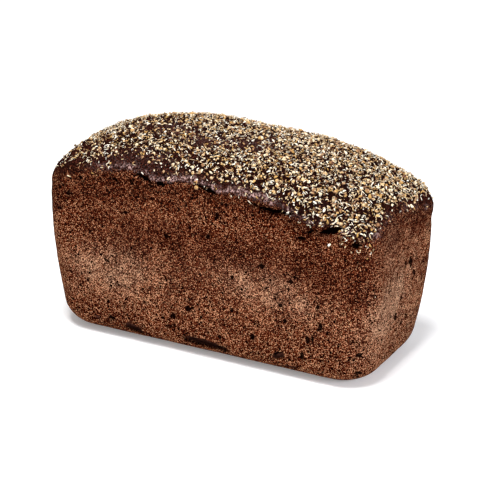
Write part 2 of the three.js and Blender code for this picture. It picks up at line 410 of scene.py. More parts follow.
class LoafForm:
    """The smooth loaf in millimetres, before tears, pores and lumps."""

    corner, base_corner = 14.0, 23.0
    swell, lean, tilt = 2.3, 2.1, 1.9
    # The topping lies on the crown and makes up this much of its height.
    topping = 1.0

    def __init__(self, shape):
        self.half_long = shape.crown_length / MM / 2
        self.half_wide = shape.crown_width / MM / 2
        self.base_long = self.half_long - shape.end_draw / MM
        self.base_wide = self.half_wide - shape.side_draw / MM
        self.shoulder = shape.shoulder / MM - self.topping
        self.arch_along = shape.arch_along / MM
        self.arch_across = shape.arch_across / MM
        self.base_round = shape.base_round / MM
        self.edge_round = shape.edge_round / MM
        self.slide, self.normal = ring_template()

    def ring(self, half_long, half_wide, radius):
        """x and y of a ring; each size is one number or one for every point."""
        x = self.slide[:, 0] * (half_long - radius) + self.normal[:, 0] * radius
        y = self.slide[:, 1] * (half_wide - radius) + self.normal[:, 1] * radius
        return x, y

    def crest(self, x, y):
        """Height of the crown over a point, before its edge is rounded off."""
        u = np.minimum(np.abs(x) / self.half_long, 1)
        v = np.minimum(np.abs(y) / self.half_wide, 1)
        return self.shoulder + self.arch_along * (1 - u**2.8) + self.arch_across * (1 - v**3.3)

    def wall(self, z):
        """A ring of the wall, at a height for each of its points."""
        part = np.clip(z / (self.shoulder - self.edge_round / 2), 0, 1)
        below = np.clip(self.base_round - z, 0, None)
        rounding = self.base_round - np.sqrt(self.base_round**2 - below**2)
        out = self.swell * 4 * part * (1 - part) - rounding
        half_long = self.base_long + (self.half_long - self.base_long) * part + out
        half_wide = self.base_wide + (self.half_wide - self.base_wide) * part + out
        radius = self.base_corner + (self.corner - self.base_corner) * part - rounding
        x, y = self.ring(half_long, half_wide, np.maximum(radius, 3))
        return np.stack([x, y, z], 1)

    def settle(self, points):
        """All points lean and tilt together, and the floor stays flat."""
        part = np.minimum(points[:, 2] / self.shoulder, 1)
        settled = points.copy()
        settled[:, 0] += self.lean * (part - 1)
        settled[:, 2] -= self.tilt * part * points[:, 0] / self.half_long
        return settled

    def build(self):
        """Points, how far each has climbed past the crown edge, and quads."""
        rows, climbs = [], []
        for k in range(BASE_ROWS + 1):
            z = self.base_round * (1 - math.cos(k / BASE_ROWS * math.pi / 2))
            rows.append(self.wall(np.full(AROUND, z)))
            climbs.append(np.full(AROUND, -200.0))
        x, y = self.ring(self.half_long, self.half_wide, self.corner)
        end = self.crest(x, y) - self.edge_round
        heights = [self.base_round + (end - LIP_BAND - self.base_round) * k / WALL_ROWS
                   for k in range(1, WALL_ROWS + 1)]
        heights += [end - LIP_BAND * (1 - k / LIP_ROWS) for k in range(1, LIP_ROWS + 1)]
        for z in heights:
            rows.append(self.wall(z))
            climbs.append(z - end)
        for k in range(1, EDGE_ROWS + 1):
            turn = k / EDGE_ROWS * math.pi / 2
            back = self.edge_round * (1 - math.cos(turn))
            x, y = self.ring(self.half_long - back, self.half_wide - back, self.corner - back)
            z = self.crest(x, y) - self.edge_round * (1 - math.sin(turn))
            rows.append(np.stack([x, y, z], 1))
            climbs.append(np.full(AROUND, self.edge_round * turn))
        ring_count = len(rows)
        inner, inner_climb, grid = self.crown_patch(rows[-1], (ring_count - 1) * AROUND,
                                                    ring_count * AROUND)
        points = np.concatenate(rows + [inner])
        climb = np.concatenate(climbs + [inner_climb])
        first = np.arange(AROUND)
        after = np.roll(first, -1)
        quads = [np.stack([first, after, after + AROUND, first + AROUND], 1) + ring * AROUND
                 for ring in range(ring_count - 1)]
        quads.append(np.stack([grid[:-1, :-1], grid[1:, :-1], grid[1:, 1:], grid[:-1, 1:]],
                              2).reshape(-1, 4))
        return points, climb, np.concatenate(quads)

    def crown_patch(self, rim, rim_start, inner_start):
        """Fills the rim with a grid of LONG_CELLS by SHORT_CELLS, blended from its four sides."""
        long, short = LONG_CELLS, SHORT_CELLS
        loop = np.arange(len(rim) + 1) % len(rim)
        front = loop[:long + 1]
        right = loop[long:long + short + 1]
        back = loop[long + short:2 * long + short + 1][::-1]
        left = loop[2 * long + short:][::-1]
        flat = rim[:, :2]
        u = np.linspace(0, 1, long + 1)[:, None, None]
        v = np.linspace(0, 1, short + 1)[None, :, None]
        blend = ((1 - v) * flat[front][:, None] + v * flat[back][:, None]
                 + (1 - u) * flat[left][None] + u * flat[right][None]
                 - (1 - u) * (1 - v) * flat[front[0]] - u * (1 - v) * flat[front[-1]]
                 - (1 - u) * v * flat[back[0]] - u * v * flat[back[-1]])
        inside = blend[1:-1, 1:-1].reshape(-1, 2)
        points = np.column_stack([inside, self.crest(inside[:, 0], inside[:, 1])])
        rim_long, rim_wide = self.half_long - self.edge_round, self.half_wide - self.edge_round
        inward = np.minimum(rim_long - np.abs(inside[:, 0]), rim_wide - np.abs(inside[:, 1]))
        climb = self.edge_round * math.pi / 2 + np.clip(inward, 0, None)
        grid = np.zeros((long + 1, short + 1), int)
        grid[1:-1, 1:-1] = inner_start + np.arange(len(inside)).reshape(long - 1, short - 1)
        grid[:, 0], grid[:, -1] = rim_start + front, rim_start + back
        grid[0, :], grid[-1, :] = rim_start + left, rim_start + right
        return points, climb, grid


def along_sides(points, form, table):
    """A value read off a table for the nearest side, blended round the corners."""
    x, y = points[:, 0], points[:, 1]
    sides = {"front": (y + form.half_wide, x), "back": (form.half_wide - y, x),
             "left": (x + form.half_long, y), "right": (form.half_long - x, y)}
    total, weights = 0.0, 0.0
    for side, (away, place) in sides.items():
        at, value = np.array(table[side], float).T
        weight = 1 / (np.clip(away, 0, None) + 3) ** 3
        total = total + weight * np.interp(place, at, value)
        weights = weights + weight
    return total / weights


def facing(normals):
    """How squarely each point faces the four walls, 0 to 1."""
    return {"front": np.clip(-normals[:, 1], 0, 1) ** 2, "back": np.clip(normals[:, 1], 0, 1) ** 2,
            "right": np.clip(normals[:, 0], 0, 1) ** 2, "left": np.clip(-normals[:, 0], 0, 1) ** 2}


def grid_normals(points, quads):
    """The outward direction at each point of a grid of quads."""
    across = points[quads[:, 2]] - points[quads[:, 0]]
    up = points[quads[:, 3]] - points[quads[:, 1]]
    face = np.cross(across, up)
    normals = np.zeros_like(points)
    for corner in range(4):
        np.add.at(normals, quads[:, corner], face)
    return normals / np.linalg.norm(normals, axis=1)[:, None]


class Skin:
    """The loaf's surface in millimetres, and what its reliefs and masks are worked out from."""

    def __init__(self, shape):
        self.form = LoafForm(shape)
        points, self.climb, self.quads = self.form.build()
        self.points = self.form.settle(points)
        self.normals = grid_normals(self.points, self.quads)
        self.face = facing(self.normals)
        # Points turned to the front far enough to be cut from there.
        self.in_front = self.normals[:, 1] < -0.25
        self.wall = ramp(-self.climb, -2, 4)
        self.noise = Lumps(shape.seed)
        self.jag = np.stack([self.lumps(2.2), self.noise(self.points + 40, 2.2)], 1)
        # How far each point lies past the wandering crust edge.
        self.drift = (self.climb - along_sides(self.points, self.form, EDGE_WANDER)
                      + 0.8 * self.lumps(13) + 0.8 * self.lumps(5))
        self.inward = np.zeros_like(self.points)
        # hollow: where shade is painted black in the cuts and pores; cavity: inside the blown
        # hollows.
        self.hollow = np.zeros(len(points))
        self.cavity = np.zeros(len(points))

    def lumps(self, size):
        return self.noise(self.points, size)

    def lumpy(self, table):
        return sum(height * self.lumps(size) for size, height in table)

    def cut(self, part, depth, way, dark=None):
        """Presses part of the surface in along way, and paints its shade black there."""
        self.inward += np.outer(depth * part, way)
        self.hollow = np.maximum(self.hollow, part if dark is None else dark)


def shape_loaf(shape):
    """The loaf's points in millimetres, its quads and its masks."""
    skin = Skin(shape)
    push = relief(skin, shape.lip / MM)
    cut_tears(skin)
    cut_hollows(skin)
    cut_pits(skin)
    push -= press_pores(skin, shape)
    skin.points = skin.points + skin.normals * push[:, None] + skin.inward
    skin.points[:, 2] = np.maximum(skin.points[:, 2], 0)
    skin.points[:AROUND, 2] = 0
    return skin.points, skin.quads, surface_masks(skin)


def relief(skin, lip):
    """How far each point stands out: sunken walls, the lip with a crease under it, and lumps."""
    x, y, z = skin.points.T
    wall = skin.wall
    push = np.zeros(len(x))
    for side, along, up, reach_along, reach_up, depth in SUNKEN:
        place = x if side in ("front", "back") else y
        push -= depth * skin.face[side] * bell(place - along, reach_along) * bell(z - up, reach_up)
    strength = np.clip(0.75 + 0.5 * skin.lumps(23) + 0.006 * x, 0.15, 1.3)
    strength *= 1 - 0.7 * skin.face["right"]
    push += lip * strength * bell(skin.drift - 0.5, LIP_REACH)
    push -= CREASE_DEPTH * strength * bell(skin.drift + CREASE_DROP, CREASE_REACH)
    off_floor = ramp(z, 0.0, 5.0)
    push += off_floor * skin.lumpy(BROAD_LUMPS)
    push += off_floor * wall * skin.lumpy(WALL_LUMPS)
    push += (1 - wall) * skin.lumpy(CROWN_LUMPS)
    for at_x, at_y, reach_x, reach_y, rise in SWELLS:
        push += (1 - wall) * rise * bell(x - at_x, reach_x) * bell(y - at_y, reach_y)
    return push


def cut_tears(skin):
    """Tears of the front face and slits of the +X end, jagged and narrowing to their ends, their
    shade painted black.

    A slit's shade is painted black a little past its cut, so that it reads on a face seen nearly
    edge on.
    """
    for cuts, side, axes, way, reach, fade in ((TEARS, "front", (0, 2), (0, 1, 0), 1.5, 1.1),
                                               (END_SLITS, "right", (1, 2), (-1, 0, 0), 2.0, 0.7)):
        spots = skin.points[:, axes] + 0.9 * skin.jag
        on_face = skin.face[side] > 0.3
        for line, half, depth in cuts:
            away, along = way_to_line(spots, line)
            width = half * (0.35 + 0.65 * np.sin(np.pi * np.clip(along, 0.06, 0.94)))
            part = ramp(width * 1.5 - away, 0, width * 1.1) * on_face
            dark = ramp(width * reach - away, 0, width * fade) * on_face
            skin.cut(part, depth, way, dark)


def cut_hollows(skin):
    """Blown hollows: smooth inside, with their shade painted black under the upper edge."""
    x, _, z = skin.points.T
    for at_x, at_z, half_x, half_z, turn, depth in HOLLOWS:
        turn = math.radians(turn)
        dx, dz = x - at_x, z - at_z
        along = (dx * math.cos(turn) + dz * math.sin(turn)) / half_x
        up = (dz * math.cos(turn) - dx * math.sin(turn)) / half_z
        up += 0.35 * along**2 + 0.12 * skin.jag[:, 0]
        part = ramp(1.15 - np.hypot(along, up), 0, 0.34) * skin.in_front
        dark = part * ramp(up + 0.5 * skin.jag[:, 1], -0.1, 0.6)
        skin.cut(part, depth, (0, 1, -0.25), dark)
        skin.cavity = np.maximum(skin.cavity, part)


def cut_pits(skin):
    """The larger open pores of the front face, as deep as they are wide, their shade painted black.
    """
    x, _, z = skin.points.T
    for at_x, at_z, half_x, half_z in PITS:
        away = np.hypot((x - at_x + 0.4 * skin.jag[:, 0]) / half_x,
                        (z - at_z + 0.4 * skin.jag[:, 1]) / half_z)
        skin.cut(ramp(2.3 - away, 0, 1.5) * skin.in_front, 2.0 * half_x, (0, 1, 0))


def press_pores(skin, shape):
    """Paints the shade of small pits black over the walls, thicker near the base, and gives their
    depth.
    """
    rng = np.random.default_rng(shape.seed + 5)
    points, z = skin.points, skin.points[:, 2]
    chance = (skin.climb < -3) * (z > 1.5) * (0.10 + 1.2 * np.exp(-z / 22))
    picks = rng.choice(len(points), shape.pores, replace=False, p=chance / chance.sum())
    tree = kdtree.KDTree(len(points))
    for index, point in enumerate(points):
        tree.insert(point, index)
    tree.balance()
    mask, depth = np.zeros(len(points)), np.zeros(len(points))
    for pick in picks:
        reach = rng.uniform(0.8, 1.3) if rng.random() < 0.85 else rng.uniform(1.3, 1.9)
        squash = rng.uniform(0.7, 1.3)
        deep = reach * rng.uniform(0.7, 1.1)
        for _, index, away in tree.find_range(points[pick], reach * 1.3):
            lift = (points[index, 2] - points[pick, 2]) * squash
            away = math.sqrt(max(away**2 + lift**2 * (1 - 1 / squash**2), 0))
            dip = max(1 - (away / reach) ** 2, 0)
            depth[index] = max(depth[index], deep * dip)
            mask[index] = max(mask[index], dip)
    skin.hollow = np.maximum(skin.hollow, mask)
    return depth


# ---------------------------------------------------------------- masks


def surface_masks(skin):
    """The masks that the crust and the topping read, by name, each 0 to 1."""
    x, y, z = skin.points.T
    blur = 3.0 + 4.0 * ramp(-x, 40, 85) + 6.5 * skin.face["right"]
    thin = sum(amount * bell(x - at_x, reach_x) * bell(y - at_y, reach_y)
               for at_x, at_y, reach_x, reach_y, amount in THIN_PATCHES)
    thin = np.clip(thin, 0, 1) * (1 - skin.wall)
    # rim holds a painted highlight along the proud crust edge, with a little on the thin patches.
    highlight_ridge = np.clip(0.25 + 0.7 * skin.lumps(9) + 0.80 * bell(x + 5, 42), 0, 1.1)
    rim = bell(skin.drift - 1.8, 1.35) * highlight_ridge * ramp(x, -88, -48) + 0.13 * thin
    pitted = bell(skin.climb + 5, 8) * ramp(-x, -60, 20) + 0.8 * bell(z - 10, 14)
    return {
        "cover": topping_cover(skin) * (1 - thin) * (1 - ramp(skin.hollow, 0.1, 0.5)),
        "crown": ramp(skin.drift, -blur, blur),
        "rim": np.clip(rim, 0, 1),
        "hollow": skin.hollow,
        "cavity": skin.cavity,
        "pale_and_lit": pale_and_lit_mask(skin),
        "scorch_and_shade": scorch_and_shade_mask(skin),
        "pitted": np.clip(pitted, 0, 1),
    }


def topping_cover(skin):
    """How thickly the topping lies, 0 to 1, with the odd bit strewn outside its edge."""
    past = (skin.climb - along_sides(skin.points, skin.form, TOPPING_EDGE)
            + 2.0 * skin.lumps(9) + 1.5 * skin.lumps(4))
    patchy = 0.81 + 0.30 * skin.lumps(21) + 0.34 * skin.lumps(7) + 0.0031 * skin.points[:, 0]
    cover = ramp(past, -3.5, 3.5) * np.clip(patchy, 0.25, 1)
    stray = 0.13 * ramp(past, -8, -2) + 0.0002 * ramp(skin.climb, -70, -10)
    return np.clip(np.maximum(cover, stray), 0, 1)


def pale_and_lit_mask(skin):
    """Where the wall is paler: pale crust with painted light, below each sunken place and on the +X
    end.
    """
    x, y, z = skin.points.T
    face = skin.face
    wander = 9 * skin.lumps(30) + 4 * skin.lumps(11)
    front = (1.0 * bell(x + 60 + wander, 30) * bell(z - 45 - 0.12 * (x + 60) + wander / 2, 14)
             + 0.85 * bell(x - 40 + wander, 34) * bell(z - 53 + 0.16 * (x - 42) + wander / 2, 12)
             + 0.04 * bell(z - 26, 22))
    slope = (y + 20) * 0.82 + (z - 47) * 0.57
    across = (y + 20) * 0.57 - (z - 47) * 0.82
    right = (1.5 * bell(across + wander / 2, 13) * bell(slope + wander / 2, 20) + 0.20
             + 0.40 * bell(y + 22, 9) * bell(z - 84, 13) + 0.24 * bell(z - 22, 24))
    back = 0.8 * bell(x - 30 + wander, 40) * bell(z - 45 + wander / 2, 14) + 0.15
    left = 0.8 * bell(y - 4 + wander, 22) * bell(z - 44, 14) + 0.15
    mottle = 0.85 + 0.55 * skin.lumps(8) + 0.35 * skin.lumps(3.5)
    return np.clip((face["front"] * front + face["right"] * right + face["back"] * back
                    + face["left"] * left) * mottle, 0, 1)


def scorch_and_shade_mask(skin):
    """Where the wall is darker: painted shade in the sunken band, and baked darker with painted
    shade close under the crust edge.
    """
    x, _, z = skin.points.T
    wander = 6 * skin.lumps(24)
    # The sunken band: painted shade where the dented wall turns downwards.
    shaded_band = bell(z - 72 + wander + 0.05 * x, 13) * ramp(x, -100, -30)
    shaded_band = np.maximum(shaded_band, 1.1 * bell(x - 74, 24) * bell(z - 70 + wander, 16))
    # Close under the lip: baked darker, with the painted shade of the overhang.
    under = 0.85 * bell(skin.climb + 4 + wander / 2, 11)
    dark = np.maximum(shaded_band * (skin.face["front"] + skin.face["back"]), under)
    return np.clip(dark * (0.8 + 0.5 * skin.lumps(11)), 0, 1)


# ---------------------------------------------------------------- meshes


def new_object(name, data):
    made = bpy.data.objects.new(name, data)
    bpy.context.scene.collection.objects.link(made)
    return made


def store(mesh, name, mask):
    """Keeps a mask on a mesh, one number for each point."""
    mesh.attributes.new(name, "FLOAT", "POINT").data.foreach_set(
        "value", np.asarray(mask, np.float32))


# ---------------------------------------------------------------- node helpers


def put(tree, socket, value):
    """Sets a socket, or links it when the value comes from another node."""
    if isinstance(value, Value):
        value = value.socket
    if isinstance(value, bpy.types.NodeSocket):
        tree.links.new(value, socket)
    elif socket.type == "RGBA" and len(value) == 3:
        socket.default_value = (*value, 1.0)
    else:
        socket.default_value = value


def fill(tree, node, inputs):
    """Sets or links a node's inputs, each given by its name or number."""
    for name, value in inputs.items():
        put(tree, node.inputs[name], value)


def add_node(tree, kind, inputs=None, **settings):
    """A new node with its settings and its inputs in place."""
    node = tree.nodes.new(kind)
    for name, setting in settings.items():
        setattr(node, name, setting)
    fill(tree, node, inputs or {})
    return node


class Value:
    """What a socket carries, for use in plain sums: each sum adds a math node to its tree."""

    def __init__(self, tree, socket):
        self.tree = tree
        self.socket = socket

    def math(self, operation, first, second):
        node = add_node(self.tree, "ShaderNodeMath", {0: first, 1: second}, operation=operation)
        return Value(self.tree, node.outputs[0])

    def __add__(self, other):
        return self.math("ADD", self, other)

    def __sub__(self, other):
        return self.math("SUBTRACT", self, other)

    def __rsub__(self, other):
        return self.math("SUBTRACT", other, self)

    def __mul__(self, other):
        return self.math("MULTIPLY", self, other)

    def __rtruediv__(self, other):
        return self.math("DIVIDE", other, self)

    def held(self):
        """Holds the last sum between 0 and 1."""
        self.socket.node.use_clamp = True
        return self


def values(tree, sockets):
    """Named sockets as values, by name."""
    return {socket.name: Value(tree, socket) for socket in sockets if socket.name}


def spread(value, low, high, to_low=0.0, to_high=1.0, kind="SMOOTHSTEP"):
    """Maps low..high to to_low..to_high, held at both ends."""
    node = add_node(value.tree, "ShaderNodeMapRange", {
        "Value": value, "From Min": low, "From Max": high, "To Min": to_low, "To Max": to_high,
    }, interpolation_type=kind)
    return Value(value.tree, node.outputs["Result"])


def blend_colour(part, first, second):
    """The first colour where part is 0, the second where it is 1."""
    node = add_node(part.tree, "ShaderNodeMix", {0: part, 6: first, 7: second}, data_type="RGBA")
    return Value(part.tree, node.outputs[2])


def attribute(tree, name):
    """A mask stored on the mesh."""
    return Value(tree, add_node(tree, "ShaderNodeAttribute", attribute_name=name).outputs["Fac"])


def noise(place, size, detail=2.0, rough=0.5):
    """Noise whose blotches are about size metres across."""
    node = add_node(place.tree, "ShaderNodeTexNoise", {
        "Vector": place, "Scale": 1.0 / size, "Detail": detail, "Roughness": rough})
    return Value(place.tree, node.outputs["Fac"])


def cells(place, size):
    """Scattered cells about size metres across: the distance to a middle, and a random colour."""
    node = add_node(place.tree, "ShaderNodeTexVoronoi", {"Vector": place, "Scale": 1.0 / size})
    return Value(place.tree, node.outputs["Distance"]), Value(place.tree, node.outputs["Color"])


def bump(height, strength, distance, **under):
    """A bump over the smooth surface, or over the bump given as Normal."""
    node = add_node(height.tree, "ShaderNodeBump", {
        "Height": height, "Strength": strength, "Distance": distance, **under})
    return Value(height.tree, node.outputs["Normal"])


def tint_ramp(value, stops):
    """Colours by value: stops are (place, colour), lowest first."""
    node = add_node(value.tree, "ShaderNodeValToRGB", {"Fac": value})
    elements = node.color_ramp.elements
    # A new ramp has two stops, which take the outer colours.
    for turn, (at, tint) in enumerate((stops[0], stops[-1], *stops[1:-1])):
        stop = elements[turn] if turn < 2 else elements.new(at)
        stop.position = at
        stop.color = (*tint, 1)
    return Value(value.tree, node.outputs["Color"])


def dimmed(tint, part):
    """A colour at part of its brightness."""
    return tuple(part * channel for channel in tint)


def new_group(name, inputs, outputs):
    """A shader node group. An input with no default is a vector, and all else is a number."""
    tree = bpy.data.node_groups.new(name, "ShaderNodeTree")
    for label, default in inputs.items():
        kind = "NodeSocketVector" if default is None else "NodeSocketFloat"
        socket = tree.interface.new_socket(name=label, in_out="INPUT", socket_type=kind)
        if default is not None:
            socket.default_value = default
    for label in outputs:
        tree.interface.new_socket(name=label, in_out="OUTPUT", socket_type="NodeSocketFloat")
    given = values(tree, tree.nodes.new("NodeGroupInput").outputs)
    return tree, given, tree.nodes.new("NodeGroupOutput")


def place_group(tree, group, inputs):
    """Puts a group in a tree and gives what comes out of it, by name."""
    return values(tree, add_node(tree, "ShaderNodeGroup", inputs, node_tree=group).outputs)


def baked_grain_group():
    """Grainy baked surface: grain runs from dark pit (0) to pale grit (1), pores are black spots of
    painted shade.
    """
    name = "Baked grain"
    if name in bpy.data.node_groups:
        return bpy.data.node_groups[name]
    tree, given, out = new_group(name, {"Vector": None, "Grain Size": 1 * MM, "Pitting": 0.0},
                                 ("Grain", "Pores"))
    place, size = given["Vector"], given["Grain Size"]
    fine = noise(place, size, detail=1.0, rough=0.8)
    coarse = noise(place, size * 4.5, detail=1.0, rough=0.6)
    bed = spread(fine * 0.80 + coarse * 0.20, 0.38, 0.62, kind="LINEAR")
    away, tint = cells(place, size)
    lone = add_node(tree, "ShaderNodeSeparateColor", {0: tint})
    speck = spread(away, 0.25, 0.85, 1.0, 0.2) * lone.outputs[0]

    # Two sizes of pore painted black as shade, each only where a slower noise lets it through.
    torn = (fine - 0.5) * 0.35
    pitting = given["Pitting"] * 0.14
    pores = 0.0
    for spacing, reach, patch, limit in ((3.6, 0.22, 7, 0.55), (1.9, 0.25, 5, 0.46)):
        away, _ = cells(place, spacing * MM)
        gate = noise(place, patch * MM, detail=1.0) + pitting
        hole = (spread(away + torn, reach, reach + 0.08, 1.0, 0.0)
                * spread(gate, limit, limit + 0.03))
        pores = hole.math("MAXIMUM", hole, pores)
    fill(tree, out, {"Grain": (bed * 0.46 + speck * 0.74).held(), "Pores": pores})
    return tree


def ragged_group():
    """Gives a soft mask a fine ragged edge."""
    name = "Ragged edge"
    if name in bpy.data.node_groups:
        return bpy.data.node_groups[name]
    tree, given, out = new_group(name, {
        "Mask": 0.0, "Vector": None, "Size": 1 * MM, "Reach": 0.5, "Softness": 0.1}, ("Mask",))
    rough = noise(given["Vector"], given["Size"], detail=3.0, rough=0.65)
    ragged = given["Mask"] + (rough - 0.5) * (given["Reach"] * 2.0)
    soft = given["Softness"]
    fill(tree, out, {"Mask": spread(ragged, 0.5 - soft, soft + 0.5)})
    return tree


def new_material(name):
    """A material, its tree, its shader and the place on the piece."""
    material = bpy.data.materials.new(name)
    material.use_nodes = True
    tree = material.node_tree
    tree.nodes.clear()
    shader = tree.nodes.new("ShaderNodeBsdfPrincipled")
    add_node(tree, "ShaderNodeOutputMaterial", {"Surface": shader.outputs[0]})
    place = Value(tree, tree.nodes.new("ShaderNodeTexCoord").outputs["Object"])
    return material, tree, shader, place


# ---------------------------------------------------------------- materials


def wall_colour(place, mask, grain, finish):
    """Dark pores, red-brown crumb and pale grit, paler with pale crust and painted light, darker
    with scorch and painted shade.

    Gives the colour and the level behind it, 0 in a pit and 1 on a grit.
    """
    pale_and_lit, scorch_and_shade = mask["pale_and_lit"], mask["scorch_and_shade"]
    broad = noise(place, SHADING, detail=3.0, rough=0.6)
    # The level rises with painted light on the pale patches and falls with painted shade in the
    # scorched band and under the lip.
    shift = pale_and_lit * 0.15 - scorch_and_shade * 0.12 + spread(broad, 0.3, 0.7, -0.17, -0.03)
    level = (grain["Grain"] * 1.56 - 0.292 + shift).held()
    walls = tint_ramp(level, (
        (0.10, finish.pore_shade), (0.32, dimmed(finish.wall, 0.42)), (0.50, finish.wall),
        (0.76, finish.grain), (1.0, finish.grit)))
    scorched_and_shaded = tint_ramp(level, (
        (0.0, finish.pore_shade), (0.6, dimmed(finish.wall, 0.5)), (1.0, finish.grain)))
    smooth = tint_ramp(grain["Grain"], ((0.2, dimmed(finish.cavity, 0.4)), (1.0, finish.cavity)))
    # Pale patches with painted light, scorched crust with painted shade, and pores painted black as
    # shade.
    walls = blend_colour(pale_and_lit * spread(level, 0.42, 0.95, 0.04, 0.72), walls, finish.pale_and_lit)
    walls = blend_colour(scorch_and_shade * 0.55, walls, scorched_and_shaded)
    walls = blend_colour(grain["Pores"], walls, finish.pore_shade)
    walls = blend_colour(spread(mask["cavity"], 0.35, 0.65), walls, smooth)
    return walls, level


def glaze_colour(place, mask, grain, finish):
    """A dark brown glaze, with painted highlight specks where the lip stands proud and painted shade
    under the topping.

    Gives the colour, the sheen of the specks and the height of the glaze.
    """
    blister = noise(place, BLISTER, detail=3.0, rough=0.6)
    speckle = noise(place, SPECKLE, detail=2.0, rough=0.7)
    # Painted highlight: greyed specks where the rim mask holds, very faint elsewhere.
    specks = spread(blister, 0.42, 0.60, 0.15, 1.0) * spread(speckle, 0.46, 0.57, 0.02, 1.0)
    sheen = (specks * (mask["rim"] + 0.008)).held()
    glaze = tint_ramp(grain["Grain"], (
        (0.18, finish.pore_shade), (0.55, finish.glaze), (1.0, finish.glaze_grain)))
    # Painted shade under the topping: the glaze darkens towards black where the bits lie thick.
    glaze = blend_colour(spread(mask["cover"], 0.3, 0.9, 0.0, 0.65), glaze, finish.pore_shade)
    return blend_colour(sheen, glaze, finish.glaze_highlight), sheen, blister + speckle * 0.45


def crust_material(finish):
    """Grainy red-brown walls that turn into a dark, slightly glossy crown."""
    material, tree, shader, place = new_material("rye crust")
    mask = {name: attribute(tree, name) for name in (
        "pale_and_lit", "cavity", "cover", "crown", "hollow", "pitted", "rim", "scorch_and_shade")}
    grain = place_group(tree, baked_grain_group(), {
        "Vector": place, "Grain Size": GRAIN, "Pitting": mask["pitted"]})
    crown = place_group(tree, ragged_group(), {
        "Mask": mask["crown"], "Vector": place, "Size": CROWN_EDGE, "Reach": 0.9,
        "Softness": 0.30})["Mask"]
    hollow = place_group(tree, ragged_group(), {
        "Mask": mask["hollow"], "Vector": place, "Size": HOLLOW_EDGE, "Reach": 0.40,
        "Softness": 0.10})["Mask"]
    walls, wall_height = wall_colour(place, mask, grain, finish)
    glaze, sheen, glaze_height = glaze_colour(place, mask, grain, finish)
    surface = blend_colour(crown, walls, glaze)
    under = bump(wall_height * (1.0 - crown), 0.9, 0.5 * MM)
    fill(tree, shader, {
        # Cuts, pits and pores painted black as shade.
        "Base Color": blend_colour(hollow * 0.95, surface, finish.pore_shade),
        "Roughness": spread(crown, 0, 1, 0.95, 0.6, kind="LINEAR"),
        "Specular IOR Level": 0.0,
        "Coat Weight": (crown * ((1.0 - hollow) * (sheen * 0.55))).held(),
        "Coat Roughness": 0.32,
        "Normal": bump(crown * glaze_height, 0.8, 1.6 * MM, Normal=under),
    })
    return material


def husk_material():
    """Dry coriander husk: straw to cream, browner outside and at random."""
    material, tree, shader, place = new_material(HUSK)
    fleck = noise(place, HUSK_FLECK, detail=2.0, rough=0.6)
    tone = attribute(tree, "tone") + attribute(tree, "inner") * 0.34
    tone = (tone + spread(fleck, 0.3, 0.7, -0.18, 0.18)).held()
    golden = spread(noise(place, HUSK_STAIN), 0.48, 0.62) * spread(tone, 1.0, 0.6, 0.0, 0.60)
    fill(tree, shader, {
        "Base Color": blend_colour(golden, tint_ramp(tone, HUSK_TINTS), HUSK_GOLD),
        "Roughness": spread(fleck, 0.3, 0.7, 0.5, 0.8),
        "Specular IOR Level": 0.12,
        "Normal": bump(fleck, 0.5, 0.3 * MM),
    })
    return material


# ---------------------------------------------------------------- topping bits


def bit_object(name, points, faces, inner, folder):
    """One small shape, centred, with a mask that is 1 on its inner side. Points in millimetres."""
    points = np.array(points, float)
    points -= (points.max(0) + points.min(0)) / 2
    mesh = bpy.data.meshes.new(name)
    mesh.from_pydata((points * MM).tolist(), [], faces)
    store(mesh, "inner", inner)
    mesh.update()
    folder.objects.link(bpy.data.objects.new(name, mesh))


def husk_shell(rng, radius, arc, width, taper, along, across, thick):
    """A broken piece of hollow husk: an arc of a globe, arc by width radians, with two faces.

    taper narrows the ends: 0 keeps a strip, 1 makes a crescent. along and across count its cells.
    """
    u = np.linspace(-1, 1, along + 1)[:, None] * np.ones(across + 1)
    v = np.linspace(-1, 1, across + 1)[None, :] * np.ones((along + 1, 1))
    u = u + rng.uniform(-0.10, 0.10, u.shape)
    narrow = 1 - taper * u**2
    a = u * arc / 2
    b = v * width / 2 * np.clip(narrow, 0.12, None) * rng.uniform(0.8, 1.15, v.shape)
    way = np.stack([np.sin(a) * np.cos(b), np.sin(b), np.cos(a) * np.cos(b)], 2).reshape(-1, 3)
    outer = way * radius * rng.uniform(0.95, 1.05, (len(way), 1))
    points = np.concatenate([outer, outer - way * thick])
    many = len(way)
    index = np.arange(many).reshape(along + 1, across + 1)
    faces = []
    for i in range(along):
        for j in range(across):
            a0, a1, a2, a3 = index[i, j], index[i + 1, j], index[i + 1, j + 1], index[i, j + 1]
            faces.append((a0, a1, a2, a3))
            faces.append((a3 + many, a2 + many, a1 + many, a0 + many))
    rim = [*index[:, 0], *index[-1, 1:], *index[::-1, -1][1:], *index[0, ::-1][1:-1]]
    for k, first in enumerate(rim):
        after = rim[(k + 1) % len(rim)]
        faces.append((after, first, first + many, after + many))
    faces = [tuple(int(corner) for corner in face) for face in faces]
    return points, faces, [0.0] * many + [1.0] * many


def seed_half(rng, radius, tall):
    """A round kernel, split flat below."""
    around, rings = 8, 3
    points, faces = [], []
    for ring in range(rings):
        rise = ring / rings * math.pi / 2
        for k in range(around):
            turn = 2 * math.pi * k / around
            out = radius * math.cos(rise) * rng.uniform(0.94, 1.06)
            points.append((out * math.cos(turn), out * math.sin(turn), tall * math.sin(rise)))
    points += [(0, 0, tall), (0, 0, 0.12 * tall)]
    top, dish = len(points) - 2, len(points) - 1
    for k in range(around):
        after = (k + 1) % around
        for ring in range(rings - 1):
            base = ring * around
            faces.append((base + k, base + after, base + around + after, base + around + k))
        faces.append(((rings - 1) * around + k, (rings - 1) * around + after, top))
        faces.append((after, k, dish))
    return points, faces, [0.0] * (len(points) - 1) + [1.0]


